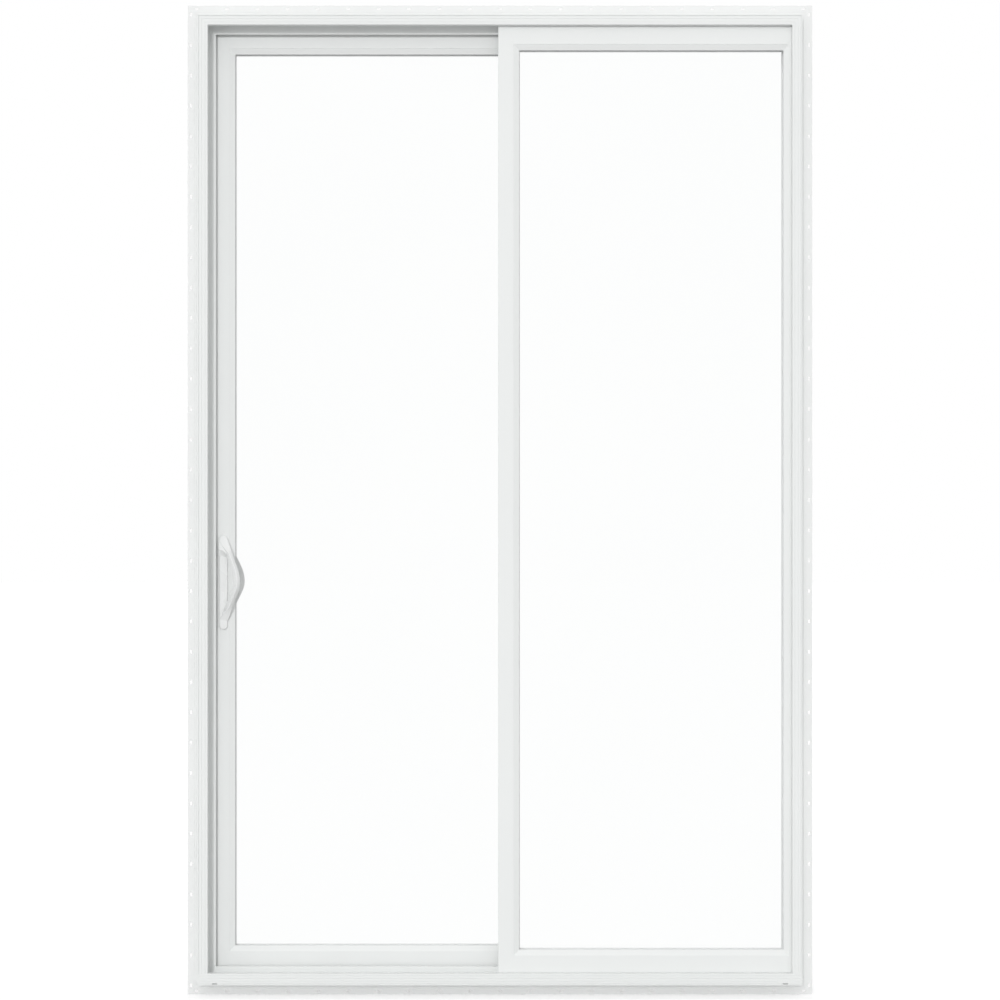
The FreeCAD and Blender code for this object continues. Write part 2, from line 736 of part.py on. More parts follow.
def make_rollers():
    """Two wheels in steel carriages, set up in the groove of the bottom rail."""
    flange_radius = "treadRadius + flangeReach"
    tread_half = "(railHead / 2 + treadSideGap)"
    wheel_half = f"({tread_half} + flangeThick)"
    near_x = f"{SLIDE_LEFT} + rollerInset"
    far_x = f"{SLIDE_RIGHT} - rollerInset"
    wheels, carriages = [], []
    for name, x in (("near", near_x), ("far", far_x)):
        place = (x, TRACK_Y, AXLE_Z)
        wheel = new_body(f"wheel_{name}", place)
        sketch = new_sketch(wheel, "XY")
        outline(sketch, [
            ("wheelBore", f"-{wheel_half}"),
            (flange_radius, f"-{wheel_half}"),
            (flange_radius, f"-{tread_half}"),
            ("treadRadius", f"-{tread_half}"),
            ("treadRadius", tread_half),
            (flange_radius, tread_half),
            (flange_radius, wheel_half),
            ("wheelBore", wheel_half),
        ])
        turned = wheel.newObject("PartDesign::Revolution", wheel.Name + "_turned")
        turned.Profile = sketch
        turned.ReferenceAxis = (sketch, ["V_Axis"])
        turned.Angle = 360
        wheels.append(wheel)

        carriage = new_body(f"carriage_{name}", place)
        sketch = new_sketch(carriage, "YZ")
        side = f"({ROLLER_GROOVE} / 2 - carriageFit)"
        inner = f"({side} - carriagePlate)"
        roof = f"({GROOVE_TOP} - {AXLE_Z})"
        foot = "-carriageRise"
        outline(sketch, [
            (f"-{side}", foot),
            (f"-{inner}", foot),
            (f"-{inner}", f"{roof} - carriagePlate"),
            (inner, f"{roof} - carriagePlate"),
            (inner, foot),
            (side, foot),
            (side, roof),
            (f"-{side}", roof),
        ])
        pad(carriage, sketch, "carriageLong", symmetric=True)
        axle = new_sketch(carriage, "XZ")
        axle.addGeometry(Part.Circle(FreeCAD.Vector(), FreeCAD.Vector(0, 0, 1), number("axleRadius")), False)
        axle.addConstraint(Sketcher.Constraint("Coincident", 0, 3, -1, 1))
        index = axle.addConstraint(Sketcher.Constraint("Radius", 0, number("axleRadius")))
        axle.setExpression(f"Constraints[{index}]", sized("axleRadius"))
        pad(carriage, axle, f"2 * {side}", symmetric=True)
        carriages.append(carriage)
    for label, pieces in (("roller_wheels", wheels), ("roller_carriages", carriages)):
        pair = doc.addObject("Part::Compound", label)
        pair.Links = pieces
        pair.Label = label


def make_lock():
    """The lock's face plate in the stile's edge, and the keeper on the jamb that it closes on."""
    plate = new_body("lock_face_plate", (SLIDE_LEFT, TRACK_Y, "handleHeight"))
    sketch = new_sketch(plate, "YZ")
    keeper = new_body("strike_keeper", ("channelFloor - frameWidth / 2", TRACK_Y, "handleHeight"))
    keeper_sketch = new_sketch(keeper, "YZ")
    slot = "plateSlotWide / 2", "plateSlotTall / 2"
    rectangles = (
        (sketch, ("plateWide / 2", "plateTall / 2")),
        (sketch, slot),
        (keeper_sketch, ("keeperWide / 2", "keeperTall / 2")),
        (keeper_sketch, slot),
    )
    for owner, (half_wide, half_tall) in rectangles:
        outline(owner, rectangle(half_wide, half_tall))
    pad(plate, sketch, "plateThick")
    pad(keeper, keeper_sketch, "keeperThick")


def make_handle(label, outward, front, reach):
    """A pull: a plate with round ends, and a bow that springs from it outwards and away from the jamb.

    outward is -1 for the pull outside and 1 for the one in the room, and reach is how far its bow stands out.
    """
    body = new_body(label, (HANDLE_X, front, "handleHeight"))
    reverse = outward > 0
    plate = new_sketch(body, "XZ")
    rise = "(handleBaseTall - handleBaseWide) / 2"
    radius = number("handleBaseWide / 2")
    up = FreeCAD.Vector(0, number(rise), 0)
    side = FreeCAD.Vector(radius, 0, 0)
    normal = FreeCAD.Vector(0, 0, 1)
    plate.addGeometry(Part.ArcOfCircle(Part.Circle(up, normal, radius), 0, math.pi), False)
    plate.addGeometry(Part.LineSegment(up - side, -up - side), False)
    plate.addGeometry(Part.ArcOfCircle(Part.Circle(-up, normal, radius), math.pi, 2 * math.pi), False)
    plate.addGeometry(Part.LineSegment(-up + side, up + side), False)
    plate.addConstraint([
        Sketcher.Constraint("Tangent", i, 2, (i + 1) % 4, 1) for i in range(4)
    ])
    index = plate.addConstraint(Sketcher.Constraint("Radius", 0, radius))
    plate.setExpression(f"Constraints[{index}]", sized("handleBaseWide / 2"))
    pin_point(plate, 0, 3, ("0", rise))
    pin_point(plate, 2, 3, ("0", f"-{rise}"))
    base = pad(body, plate, "handleBaseThick", reverse=reverse)
    doc.recompute()
    face = max(
        range(len(base.Shape.Faces)),
        key=lambda i: outward * base.Shape.Faces[i].CenterOfMass.y,
    )
    rounded = body.newObject("PartDesign::Chamfer", body.Name + "_edge")
    rounded.Base = (base, [f"Face{face + 1}"])
    bind(rounded, "Size", "handleBaseEdge")

    # the bow lies in an upright plane turned from the door's face, on the side that the panel opens to
    path = new_sketch(body, "XZ")
    bind(path, "AttachmentOffset.Rotation.Axis.x", "0")
    bind(path, "AttachmentOffset.Rotation.Axis.y", "1")
    bind(path, "AttachmentOffset.Rotation.Axis.z", "0")
    bind(path, "AttachmentOffset.Rotation.Angle", f"{-outward} * -bowAngle")
    radius = number("bowRadius")
    centre = FreeCAD.Vector(number(reach) - radius, 0, 0)
    top = FreeCAD.Vector(number("bowRoot"), number("bowRise"), 0)
    foot = FreeCAD.Vector(number("bowRoot"), -number("bowFall"), 0)
    # each line from the plate touches the arc at a right angle to the radius
    swings = []
    touches = []
    for end, way in ((top, 1), (foot, -1)):
        to_end = end - centre
        swing = to_end.getAngle(FreeCAD.Vector(1, 0, 0)) - math.acos(radius / to_end.Length)
        swings.append(swing)
        touches.append(centre + FreeCAD.Vector(radius * math.cos(swing), way * radius * math.sin(swing), 0))
    arc = Part.ArcOfCircle(Part.Circle(centre, normal, radius), -swings[1], swings[0])
    path.addGeometry(Part.LineSegment(top, touches[0]), False)
    path.addGeometry(arc, False)
    path.addGeometry(Part.LineSegment(touches[1], foot), False)
    path.addConstraint([
        Sketcher.Constraint("Tangent", 0, 2, 1, 2),
        Sketcher.Constraint("Tangent", 1, 1, 2, 1),
    ])
    index = path.addConstraint(Sketcher.Constraint("Radius", 1, radius))
    path.setExpression(f"Constraints[{index}]", sized("bowRadius"))
    pin_point(path, 1, 3, (f"{reach} - bowRadius", "0"))
    pin_point(path, 0, 1, ("bowRoot", "bowRise"))
    pin_point(path, 2, 2, ("bowRoot", "-bowFall"))
    doc.recompute()
    section = body.newObject("Sketcher::SketchObject", body.Name + "_section")
    section.AttachmentSupport = [(path, "Edge1")]
    section.MapMode = "NormalToEdge"
    section.MapPathParameter = 0
    section.addGeometry(
        Part.Ellipse(FreeCAD.Vector(), number("bowThick / 2"), number("bowWide / 2")), False
    )
    section.exposeInternalGeometry(0)
    section.addConstraint([
        Sketcher.Constraint("Coincident", 0, 3, -1, 1),
        Sketcher.Constraint("Horizontal", 1),
    ])
    for axis_line, size in ((1, "bowThick"), (2, "bowWide")):
        index = section.addConstraint(Sketcher.Constraint("Distance", axis_line, number(size)))
        section.setExpression(f"Constraints[{index}]", sized(size))
    sweep = body.newObject("PartDesign::AdditivePipe", body.Name + "_bow")
    sweep.Profile = section
    sweep.Spine = (path, ["Edge1", "Edge2", "Edge3"])
    sweep.Mode = "Frenet"
    sweep.Transition = "Transformed"

    # both ends of the bow stop level with the plate's back, where it lies on the stile
    behind = new_sketch(body, "XZ")
    outline(behind, rectangle("handleBaseWide", "handleBaseTall"))
    cut_depth(body, behind, "panelThick", reverse=reverse)


def make_thumb_latch():
    """The snib on the plate in the room, under the pull."""
    plate_front = f"{SLIDE_Y} + panelThick + handleBaseThick"
    body = new_body("thumb_latch", (HANDLE_X, plate_front, "handleHeight - latchDrop"))
    boss = new_sketch(body, "XZ")
    boss.addGeometry(Part.Circle(FreeCAD.Vector(), FreeCAD.Vector(0, 0, 1), number("latchRadius")), False)
    boss.addConstraint(Sketcher.Constraint("Coincident", 0, 3, -1, 1))
    index = boss.addConstraint(Sketcher.Constraint("Radius", 0, number("latchRadius")))
    boss.setExpression(f"Constraints[{index}]", sized("latchRadius"))
    pad(body, boss, "latchHigh / 2", reverse=True)
    lever = new_sketch(body, "XZ")
    root, tip = "latchLeverWide / 2", "latchLeverTip / 2"
    outline(lever, [
        (f"-{root}", "-latchRadius / 2"),
        (root, "-latchRadius / 2"),
        (tip, "latchLever"),
        (f"-{tip}", "latchLever"),
    ])
    pad(body, lever, "latchHigh", reverse=True)


make_frame()
for fin_side in ("top", "bottom", "left", "right"):
    make_fin(fin_side)
make_track()
make_fixed_panel()
make_sliding_panel()
make_rollers()
make_lock()
make_handle("handle_outside", -1, SLIDE_Y, "outsideBowOut")
make_handle("handle_inside", 1, f"{SLIDE_Y} + panelThick", "insideBowOut")
make_thumb_latch()
doc.recompute()

for item in doc.Objects:
    if "Invalid" in item.State or "Error" in item.State:
        raise RuntimeError(f"{item.Label} failed: {item.State}")

inner_names = ("whole_jamb_", "sill_cope", "wheel_", "carriage_")
pieces = [
    item
    for item in doc.Objects
    if item.TypeId in ("PartDesign::Body", "Part::Cut", "Part::Compound")
    and not item.Label.startswith(inner_names)
]
for piece in pieces:
    if piece.Shape.isNull() or not piece.Shape.isValid() or not piece.Shape.Solids:
        raise RuntimeError(f"{piece.Label} has no sound shape")

os.makedirs("parts", exist_ok=True)
for piece in pieces:
    piece.Shape.exportStep(f"parts/{piece.Label}.step")
    print(piece.Label, len(piece.Shape.Solids), round(piece.Shape.Volume / 1000, 1), "cm3")
print(len(pieces), "pieces")
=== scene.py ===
import math
import random

import bpy
from mathutils import Matrix, Vector


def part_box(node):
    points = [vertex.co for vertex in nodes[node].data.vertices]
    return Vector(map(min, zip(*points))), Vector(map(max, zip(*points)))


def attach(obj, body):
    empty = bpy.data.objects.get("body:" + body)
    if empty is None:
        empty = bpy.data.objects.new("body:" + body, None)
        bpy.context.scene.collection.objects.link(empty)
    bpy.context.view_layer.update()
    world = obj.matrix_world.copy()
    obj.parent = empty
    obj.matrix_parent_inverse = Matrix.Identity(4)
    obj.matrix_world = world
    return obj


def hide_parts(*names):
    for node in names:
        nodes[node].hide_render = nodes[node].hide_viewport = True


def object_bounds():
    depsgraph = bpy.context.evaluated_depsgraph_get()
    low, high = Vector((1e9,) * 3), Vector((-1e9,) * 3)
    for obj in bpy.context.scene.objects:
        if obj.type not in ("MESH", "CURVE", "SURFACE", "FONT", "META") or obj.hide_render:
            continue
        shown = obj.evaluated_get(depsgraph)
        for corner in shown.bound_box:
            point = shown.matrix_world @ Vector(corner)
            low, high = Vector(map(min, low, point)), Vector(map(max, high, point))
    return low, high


# A white vinyl sliding patio door, dressed over its CAD frame.
# X to the right seen from outside, Y towards the room, Z up, in metres.
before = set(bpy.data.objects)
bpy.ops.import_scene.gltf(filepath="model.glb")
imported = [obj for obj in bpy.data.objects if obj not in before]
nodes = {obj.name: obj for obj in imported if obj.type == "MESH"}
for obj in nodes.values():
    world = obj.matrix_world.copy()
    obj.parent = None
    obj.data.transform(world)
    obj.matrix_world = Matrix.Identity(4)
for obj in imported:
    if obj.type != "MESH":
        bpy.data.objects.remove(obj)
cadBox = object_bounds()
scene = bpy.context.scene
print("frame loaded,", len(nodes), "nodes")


# small helpers for shader trees: links holds plain values or the sockets that feed a node
def addNode(tree, kind, links=None, **settings):
    node = tree.nodes.new(kind)
    for key, value in settings.items():
        setattr(node, key, value)
    for key, value in (links or {}).items():
        socket = node.inputs[key]
        if isinstance(value, bpy.types.NodeSocket):
            tree.links.new(value, socket)
        else:
            socket.default_value = value
    return node


def calculate(tree, operation, first, second, clamp=False):
    node = addNode(tree, "ShaderNodeMath", {0: first, 1: second}, operation=operation, use_clamp=clamp)
    return node.outputs[0]


def remap(tree, value, low, high, newLow=0.0, newHigh=1.0, curve="LINEAR"):
    links = {"Value": value, "From Min": low, "From Max": high, "To Min": newLow, "To Max": newHigh}
    return addNode(tree, "ShaderNodeMapRange", links, interpolation_type=curve).outputs["Result"]


def addNoise(tree, vector, scale, detail):
    links = {"Vector": vector, "Scale": scale, "Detail": detail}
    return addNode(tree, "ShaderNodeTexNoise", links).outputs["Fac"]


def addBump(tree, height, strength, distance, normal=None):
    links = {"Height": height, "Strength": strength, "Distance": distance}
    if normal is not None:
        links["Normal"] = normal
    return addNode(tree, "ShaderNodeBump", links).outputs["Normal"]


def mixColours(tree, share, first, second):
    mix = addNode(tree, "ShaderNodeMix", data_type="RGBA")
    ends = [socket for socket in mix.inputs if socket.type == "RGBA"]
    tree.links.new(share, mix.inputs["Factor"])
    tree.links.new(first, ends[0])
    tree.links.new(second, ends[1])
    return next(socket for socket in mix.outputs if socket.type == "RGBA")


def newGroup(name, inputs, outputs):
    group = bpy.data.node_groups.new(name, "ShaderNodeTree")
    for label, (kind, value) in inputs.items():
        socket = group.interface.new_socket(label, in_out="INPUT", socket_type="NodeSocket" + kind)
        socket.default_value = value
    for label, kind in outputs.items():
        group.interface.new_socket(label, in_out="OUTPUT", socket_type="NodeSocket" + kind)
    return group, group.nodes.new("NodeGroupInput").outputs, group.nodes.new("NodeGroupOutput").inputs


def useGroup(tree, group, links):
    return addNode(tree, "ShaderNodeGroup", links, node_tree=group).outputs


# fine lines left along a bar by the die or the brush
def makeDieLines():
    group, given, out = newGroup(
        "dieLines",
        {"Vector": ("Vector", (0, 0, 0)), "Stretch": ("Vector", (1, 1, 1)), "Detail": ("Float", 3.0)},
        {"Height": "Float", "Mask": "Float"},
    )
    both = {0: given["Vector"], 1: given["Stretch"]}
    scaled = addNode(group, "ShaderNodeVectorMath", both, operation="MULTIPLY")
    lines = addNoise(group, scaled.outputs[0], 1.0, given["Detail"])
    group.links.new(lines, out["Height"])
    group.links.new(remap(group, lines, 0.35, 0.65, curve="SMOOTHSTEP"), out["Mask"])
    return group


# slow drift of a colour over the surface
def makeToneDrift():
    group, given, out = newGroup(
        "toneDrift",
        {
            "Vector": ("Vector", (0, 0, 0)),
            "Scale": ("Float", 4.0),
            "Colour": ("Color", (0.8, 0.8, 0.8, 1)),
            "Other": ("Color", (0.7, 0.7, 0.7, 1)),
            "Amount": ("Float", 0.5),
        },
        {"Colour": "Color", "Mask": "Float"},
    )
    spread = remap(group, addNoise(group, given["Vector"], given["Scale"], 4.0), 0.2, 0.8, curve="SMOOTHSTEP")
    share = calculate(group, "MULTIPLY", spread, given["Amount"], clamp=True)
    group.links.new(mixColours(group, share, given["Colour"], given["Other"]), out["Colour"])
    group.links.new(spread, out["Mask"])
    return group


# dust that lies on what faces up, in patches
def makeSettledDust():
    group, given, out = newGroup(
        "settledDust",
        {
            "Vector": ("Vector", (0, 0, 0)),
            "Colour": ("Color", (0.8, 0.8, 0.8, 1)),
            "Dust": ("Color", (0.55, 0.52, 0.47, 1)),
            "Amount": ("Float", 0.2),
        },
        {"Colour": "Color", "Mask": "Float"},
    )
    normal = group.nodes.new("ShaderNodeNewGeometry").outputs["Normal"]
    parts = addNode(group, "ShaderNodeSeparateXYZ", {"Vector": normal})
    facing = remap(group, parts.outputs["Z"], 0.55, 0.95)
    patch = remap(group, addNoise(group, given["Vector"], 26.0, 5.0), 0.4, 0.75)
    both = calculate(group, "MULTIPLY", facing, patch)
    share = calculate(group, "MULTIPLY", both, given["Amount"], clamp=True)
    group.links.new(mixColours(group, share, given["Colour"], given["Dust"]), out["Colour"])
    group.links.new(share, out["Mask"])
    return group


# the fine skin of moulded, coated or extruded plastic
def makeSkinGrain():
    group, given, out = newGroup(
        "skinGrain",
        {
            "Vector": ("Vector", (0, 0, 0)),
            "Scale": ("Float", 900.0),
            "Low": ("Float", 0.3),
            "High": ("Float", 0.45),
        },
        {"Height": "Float", "Roughness": "Float"},
    )
    fine = addNoise(group, given["Vector"], given["Scale"], 2.0)
    broad = addNoise(group, given["Vector"], 9.0, 5.0)
    rough = remap(group, broad, 0.2, 0.8, given["Low"], given["High"], curve="SMOOTHSTEP")
    group.links.new(fine, out["Height"])
    group.links.new(rough, out["Roughness"])
    return group


dieLines = makeDieLines()
toneDrift = makeToneDrift()
settledDust = makeSettledDust()
skinGrain = makeSkinGrain()


# every solid finish is built the same way and differs in the values it is given
finishDefaults = {
    "colour": (0.8, 0.8, 0.8, 1), "other": (0.76, 0.76, 0.76, 1), "drift": 0.5, "driftScale": 3.0,
    "rough": (0.34, 0.46), "grainScale": 900.0, "grainDepth": 0.00004, "grainStrength": 0.35,
    "stretch": (1, 1, 1), "lineDepth": 0.0, "lineStrength": 0.5, "lineTone": 0.0,
    "dust": 0.0, "metal": 0.0,
}


def makeFinish(name, **given):
    use = {**finishDefaults, **given}
    material = bpy.data.materials.new(name)
    material.use_nodes = True
    tree = material.node_tree
    shader = tree.nodes["Principled BSDF"]
    place = tree.nodes.new("ShaderNodeTexCoord").outputs["Object"]
    lines = useGroup(tree, dieLines, {"Vector": place, "Stretch": use["stretch"]})
    colour = useGroup(tree, toneDrift, {
        "Vector": place, "Scale": use["driftScale"], "Colour": use["colour"],
        "Other": use["other"], "Amount": use["drift"],
    })["Colour"]
    if use["lineTone"]:
        colour = useGroup(tree, toneDrift, {
            "Vector": lines["Mask"], "Scale": 1.0, "Colour": colour,
            "Other": use["other"], "Amount": use["lineTone"],
        })["Colour"]
    if use["dust"]:
        dusty = useGroup(tree, settledDust, {"Vector": place, "Colour": colour, "Amount": use["dust"]})
        colour = dusty["Colour"]
    tree.links.new(colour, shader.inputs["Base Color"])
    low, high = use["rough"]
    skin = useGroup(tree, skinGrain, {"Vector": place, "Scale": use["grainScale"], "Low": low, "High": high})
    tree.links.new(skin["Roughness"], shader.inputs["Roughness"])
    normal = addBump(tree, skin["Height"], use["grainStrength"], use["grainDepth"])
    if use["lineDepth"]:
        normal = addBump(tree, lines["Height"], use["lineStrength"], use["lineDepth"], normal)
    tree.links.new(normal, shader.inputs["Normal"])
    shader.inputs["Metallic"].default_value = use["metal"]
    return material


alongX = (1.5, 900, 900)
alongZ = (900, 900, 1.5)
vinylLook = {
    "colour": (0.80, 0.815, 0.808, 1), "other": (0.775, 0.79, 0.785, 1), "drift": 0.6,
    "rough": (0.36, 0.5), "lineDepth": 0.00005, "dust": 0.12,
}
vinylLevel = makeFinish("vinyl_level", stretch=alongX, **vinylLook)
vinylUpright = makeFinish("vinyl_upright", stretch=alongZ, **vinylLook)
finLook = {
    **vinylLook, "colour": (0.82, 0.83, 0.825, 1), "other": (0.79, 0.8, 0.795, 1), "rough": (0.42, 0.56),
}
finLevel = makeFinish("fin_vinyl_level", stretch=alongX, **finLook)
finUpright = makeFinish("fin_vinyl_upright", stretch=alongZ, **finLook)
coatWhite = makeFinish(
    "pull_coating", colour=(0.82, 0.83, 0.825, 1), other=(0.79, 0.8, 0.8, 1), rough=(0.24, 0.34),
    grainScale=650.0, grainDepth=0.00012,
)
# the room-side pull: the same white coating painted darker, as painted shade for the shade it lies in behind
# the glass
coatWithPaintedShade = makeFinish(
    "inside_pull_painted_shade_coating", colour=(0.7, 0.71, 0.708, 1), other=(0.67, 0.68, 0.68, 1), rough=(0.26, 0.36),
    grainScale=650.0, grainDepth=0.00012,
)
gasketRubber = makeFinish(
    "gasket_rubber", colour=(0.76, 0.77, 0.77, 1), other=(0.7, 0.71, 0.71, 1), rough=(0.55, 0.75),
    grainScale=1500.0,
)
pileFibre = makeFinish(
    "pile_fibre", colour=(0.25, 0.25, 0.25, 1), other=(0.12, 0.12, 0.12, 1), rough=(0.85, 0.98),
    drift=0.9, driftScale=700.0, grainScale=2600.0, grainDepth=0.0005,
)
railAluminium = makeFinish(
    "rail_aluminium", colour=(0.7, 0.71, 0.72, 1), other=(0.58, 0.59, 0.6, 1), rough=(0.24, 0.42), metal=1.0,
    stretch=alongX, lineDepth=0.00008, lineTone=0.4, dust=0.25,
)
plateSteel = makeFinish(
    "plate_steel", colour=(0.6, 0.6, 0.61, 1), other=(0.5, 0.5, 0.51, 1), rough=(0.28, 0.42), metal=1.0,
    stretch=alongZ, lineDepth=0.00006, lineTone=0.35,
)
screwSteel = makeFinish(
    "screw_steel", colour=(0.68, 0.68, 0.67, 1), other=(0.5, 0.5, 0.49, 1), rough=(0.2, 0.36), metal=1.0,
    driftScale=90.0,
)
wheelNylon = makeFinish(
    "wheel_nylon", colour=(0.05, 0.05, 0.052, 1), other=(0.09, 0.09, 0.09, 1), rough=(0.4, 0.6),
    driftScale=60.0,
)
stopRubber = makeFinish(
    "stop_rubber", colour=(0.035, 0.035, 0.035, 1), other=(0.07, 0.07, 0.07, 1), rough=(0.6, 0.8),
    driftScale=50.0,
)
spacerFoam = makeFinish(
    "spacer_foam", colour=(0.78, 0.79, 0.79, 1), other=(0.7, 0.71, 0.72, 1), rough=(0.6, 0.8),
    driftScale=120.0, grainScale=1800.0, grainDepth=0.0003,
)

# clear float glass: almost no colour, and a faint unevenness in what it reflects
glassLook = {
    "colour": (0.992, 0.995, 0.994, 1), "other": (0.984, 0.99, 0.988, 1), "drift": 0.6, "driftScale": 1.2,
    "waveDepth": 0.00002, "waveStrength": 0.2,
}


def makeGlass():
    material = bpy.data.materials.new("float_glass")
    material.use_nodes = True
    tree = material.node_tree
    shader = tree.nodes["Principled BSDF"]
    place = tree.nodes.new("ShaderNodeTexCoord").outputs["Object"]
    tone = useGroup(tree, toneDrift, {
        "Vector": place, "Scale": glassLook["driftScale"], "Colour": glassLook["colour"],
        "Other": glassLook["other"], "Amount": glassLook["drift"],
    })
    tree.links.new(tone["Colour"], shader.inputs["Base Color"])
    wave = addBump(tree, tone["Mask"], glassLook["waveStrength"], glassLook["waveDepth"])
    tree.links.new(wave, shader.inputs["Normal"])
    shader.inputs["Roughness"].default_value = 0.0
    shader.inputs["IOR"].default_value = 1.5
    shader.inputs["Transmission Weight"].default_value = 1.0
    return material


floatGlass = makeGlass()
print("finishes built,", len(bpy.data.materials))


# the CAD nodes that stay, each with its finish
levelNodes = (
    "head_frame", "sill_frame", "fixed_top_rail", "fixed_bottom_rail", "slide_top_rail", "slide_bottom_rail",
    "fixed_bead_top", "fixed_bead_bottom", "slide_bead_top", "slide_bead_bottom",
)
uprightNodes = (
    "jamb_left", "jamb_right", "fixed_interlock_stile", "fixed_jamb_stile", "slide_lock_stile",
    "slide_interlock_stile", "fixed_bead_left", "fixed_bead_right", "slide_bead_left", "slide_bead_right",
)
paneNodes = ("fixed_outer_pane", "fixed_inner_pane", "slide_outer_pane", "slide_inner_pane")
nodeFinish = {
    **{name: vinylLevel for name in levelNodes},
    **{name: vinylUpright for name in uprightNodes},
    **{name: floatGlass for name in paneNodes},
    "nail_fin_top": finLevel, "nail_fin_bottom": finLevel,
    "nail_fin_left": finUpright, "nail_fin_right": finUpright,
    "fixed_glass_spacer": spacerFoam, "slide_glass_spacer": spacerFoam,
    "sill_track_rail": railAluminium, "travel_stop": stopRubber, "strike_keeper": plateSteel,
    "lock_face_plate": plateSteel, "roller_wheels": wheelNylon, "roller_carriages": plateSteel,
}
arris = {"width": 0.0004, "segments": 2, "angle": math.radians(32), "flatWithin": math.radians(1)}


def paint(thing, material):
    if not thing.material_slots:
        thing.data.materials.append(material)
    for slot in thing.material_slots:
        slot.material = material


# joins each flat face into one, then rounds the edges between them
def softenEdges(thing):
    flat = thing.modifiers.new("whole_faces", "DECIMATE")
    flat.decimate_type = "DISSOLVE"
    flat.angle_limit = arris["flatWithin"]
    soft = thing.modifiers.new("arris", "BEVEL")
    soft.width = arris["width"]
    soft.segments = arris["segments"]
    soft.limit_method = "ANGLE"
    soft.angle_limit = arris["angle"]
    soft.use_clamp_overlap = True


for name, material in nodeFinish.items():
    paint(nodes[name], material)
    if name in levelNodes + uprightNodes:
        softenEdges(nodes[name])
for name in paneNodes:
    nodes[name].visible_shadow = False      # a clear pane lets the light through
    nodes[name].visible_diffuse = False
print("CAD nodes finished,", len(nodeFinish))


# a mesh under construction: rings of points lofted one after another, then made into a piece
class Mass:
    def __init__(self):
        self.points = []
        self.faces = []

    def loft(self, rings, capped=True):
        start = len(self.points)
        count = len(rings[0])
        self.points += [Vector(p) for ring in rings for p in ring]
        for row in range(len(rings) - 1):
            for i in range(count):
                a = start + row * count + i
                b = start + row * count + (i + 1) % count
                self.faces.append((a, b, b + count, a + count))
        if capped:
            last = start + (len(rings) - 1) * count
            self.faces.append(tuple(reversed(range(start, start + count))))
            self.faces.append(tuple(range(last, last + count)))

    def piece(self, name, material, body, slot, sharp=35):
        mesh = bpy.data.meshes.new(name)
        mesh.from_pydata([tuple(p) for p in self.points], [], self.faces)
        mesh.validate()
        mesh.materials.append(material)
        mesh.polygons.foreach_set("use_smooth", [True] * len(mesh.polygons))
        mesh.set_sharp_from_angle(angle=math.radians(sharp))
        mesh.update()
        piece = bpy.data.objects.new(name, mesh)
        scene.collection.objects.link(piece)
        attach(piece, body)
        return piece


def angles(count):
    return [2 * math.pi * i / count for i in range(count)]


def middleOf(low, high):
    return (low + high) / 2


# a rounded rectangle round the origin, as a ring of (x, y)
def roundedBox(halfWide, halfTall, radius, steps):
    ring = []
    for turn, (way, up) in enumerate(((1, 1), (-1, 1), (-1, -1), (1, -1))):
        for i in range(steps + 1):
            a = math.pi / 2 * (turn + i / steps)
            x = way * (halfWide - radius) + radius * math.cos(a)
            y = up * (halfTall - radius) + radius * math.sin(a)
            ring.append((x, y))
    return ring


# a closed mitred ring: the profile is (distance in from the rectangle, depth)
def mitredRing(rectangle, profile):
    left, right, low, high = rectangle
    corners = ((left, low, 1, 1), (right, low, -1, 1), (right, high, -1, -1), (left, high, 1, -1))
    mass = Mass()
    rings = [[(x + sx * d, y, z + sz * d) for d, y in profile] for x, z, sx, sz in corners]
    mass.loft(rings + rings[:1], capped=False)
    return mass


# the glazing gaskets round all four sight openings, a hair off the glass so that the faces don't coincide
gasket = {"wide": 0.0013, "deep": 0.0018, "tuck": 0.0006, "offGlass": 0.00006, "steps": 5}


# a quarter-round lip that lies on the plane at depth and stands out on the given side
def gasketProfile(depth, side):
    profile = [(-gasket["tuck"], depth)]
    for i in range(gasket["steps"] + 1):
        a = math.pi / 2 * i / gasket["steps"]
        inwards = gasket["wide"] * math.sin(a) - gasket["tuck"]
        profile.append((inwards, depth + side * gasket["deep"] * math.cos(a)))
    return profile if side < 0 else profile[::-1]


def sightOf(panel):
    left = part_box(panel + "_bead_left")[1].x
    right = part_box(panel + "_bead_right")[0].x
    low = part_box(panel + "_bead_bottom")[1].z
    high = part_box(panel + "_bead_top")[0].z
    return left, right, low, high


for panel, body in (("fixed", "frame"), ("slide", "sliding_panel")):
    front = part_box(panel + "_outer_pane")[0].y - gasket["offGlass"]
    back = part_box(panel + "_inner_pane")[1].y + gasket["offGlass"]
    for ending, depth, side in (("_gasket_outside", front, -1), ("_gasket_inside", back, 1)):
        ring = mitredRing(sightOf(panel), gasketProfile(depth, side))
        ring.piece(panel + ending, gasketRubber, body, "stop_rubber")
print("gaskets built")


lockLow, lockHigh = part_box("slide_lock_stile")
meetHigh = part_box("slide_interlock_stile")[1]
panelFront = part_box("slide_top_rail")[0].y
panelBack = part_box("slide_top_rail")[1].y

# the pile weatherstrips in the sliding panel's edges: a ribbed base and a tuft, ragged at its tip
pile = {
    "wide": 0.0048, "rib": 0.0008, "pitch": 0.0022,
    "shoulder": 0.62, "tip": 0.45,      # shares of the base's half width
    "ragged": 0.22, "lean": 0.35, "slant": 0.1,
    "frontTall": 0.0068, "backTall": 0.0040,
    "edgeInset": 0.0095,      # from the panel's outer edge to the middle of a strip
    "endGap": 0.004,
}
pileRandom = random.Random(7)


